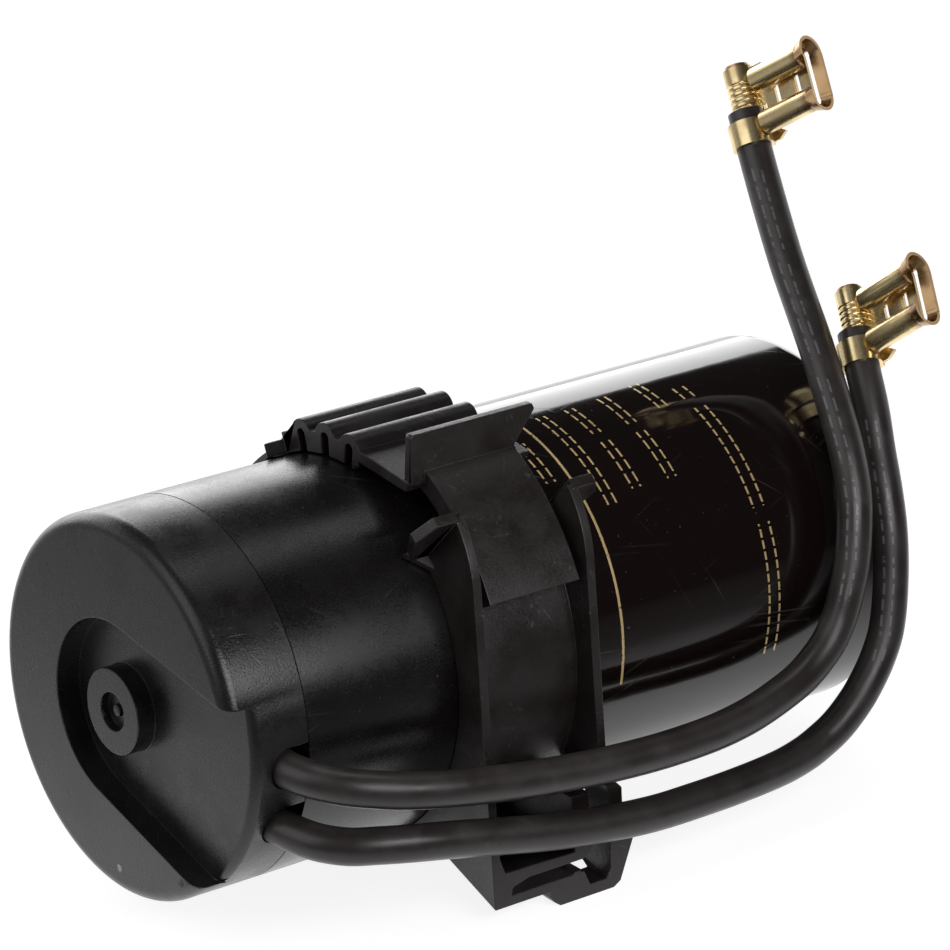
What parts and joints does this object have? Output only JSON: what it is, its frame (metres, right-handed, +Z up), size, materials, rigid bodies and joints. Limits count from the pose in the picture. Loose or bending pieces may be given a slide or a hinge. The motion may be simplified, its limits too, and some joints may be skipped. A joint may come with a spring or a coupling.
{
  "type": "motor start capacitor with mounting clip",
  "caption": "Round black motor start capacitor with end cover, moulded snap-in strap clip and two insulated leads ending in brass flag receptacles",
  "frame": {"origin": "Under the middle of the case and clip, on the level of the lower face of the latch foot", "axes": "X along the case axis from the end cover to the closed end, Y away from the latch foot, Z up"},
  "size_m": [0.0876, 0.0536, 0.0712],
  "materials": {
    "case_black": "moulded black case, glossy behind the clip with hair scratches, satin in front, plain gold print",
    "cover_black": "satin black with a fine moulded grain",
    "clip_black": "satin black moulding with scuffs",
    "tinned_lug": "tinned sheet metal",
    "lead_black": "semi-matt black insulation",
    "strand": "bare stranded copper",
    "brass_sheet": "bright brass sheet"
  },
  "bodies": {
    "root": {"can_body": "case_black", "end_cap": "cover_black", "mounting_clip": "clip_black", "terminal_upper": "tinned_lug", "terminal_lower": "tinned_lug", "lead_upper": "lead_black", "lead_lower": "lead_black", "conductor_upper": "strand", "conductor_lower": "strand", "flag_upper": "brass_sheet", "flag_lower": "brass_sheet"}
  },
  "joints": []
}
